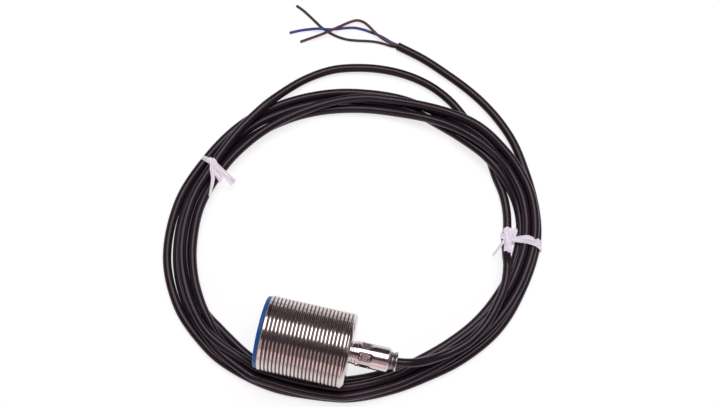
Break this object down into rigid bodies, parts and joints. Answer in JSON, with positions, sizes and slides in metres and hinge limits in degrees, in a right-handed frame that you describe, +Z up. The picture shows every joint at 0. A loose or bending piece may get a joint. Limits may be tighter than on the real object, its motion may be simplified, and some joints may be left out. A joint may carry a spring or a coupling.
{
  "type": "inductive proximity sensor",
  "caption": "Cylindrical inductive proximity sensor with a fine-threaded metal barrel, blue plastic sensing face, crimped cable outlet and thin coiled cable.",
  "frame": {"origin": "on the table plane, below the middle of the sensor's own length and on its axis, measured without the cable", "axes": "+X along the sensor's axis towards the cable outlet, -X out of the sensing face, +Z up, the sensor's axis 15 mm above the table"},
  "size_m": [0.1523, 0.1658, 0.03],
  "materials": {
    "barrel_metal": "bright nickel plate on brass, machined thread",
    "face_plastic": "satin moulded blue",
    "ferrite": "matt sintered",
    "bobbin_plastic": "natural moulded",
    "enamelled_wire": "enamelled copper",
    "shield_brass": "rolled sheet",
    "board": "solder-resist green",
    "component_black": "matt moulded",
    "component_tan": "matt",
    "component_glass": "amber glass",
    "solder": "bright solder",
    "resin": "cast potting compound",
    "outlet_metal": "bright nickel plate, crimped",
    "seal_rubber": "matt",
    "cable_jacket": "smooth satin flexible jacket",
    "core_brown": "satin insulation",
    "core_blue": "satin insulation",
    "core_black": "satin insulation",
    "tie_film": "thin translucent film, crumpled"
  },
  "bodies": {
    "root": {"housing_barrel": "barrel_metal", "sensing_cap": "face_plastic", "ferrite_core": "ferrite", "coil_bobbin": "bobbin_plastic", "coil_winding": "enamelled_wire", "coil_leads": "enamelled_wire", "shield_ring": "shield_brass", "circuit_board": "board", "control_chip": "component_black", "output_transistor": "component_black", "capacitors": "component_tan", "resistors": "component_black", "protection_diodes": "component_glass", "solder_joints": "solder", "potting_resin": "resin", "inner_core_brown": "core_brown", "inner_core_blue": "core_blue", "inner_core_black": "core_black", "outlet_nipple": "outlet_metal", "nipple_o_ring": "seal_rubber", "crimp_sleeve": "outlet_metal", "cable_seal": "seal_rubber", "end_collar": "outlet_metal", "cable_lead": "cable_jacket", "cable_coil": "cable_jacket", "cable_loop": "cable_jacket", "cable_end": "cable_jacket", "core_brown": "core_brown", "core_blue": "core_blue", "core_black": "core_black", "tie_left": "tie_film", "tie_right": "tie_film"}
  },
  "joints": []
}
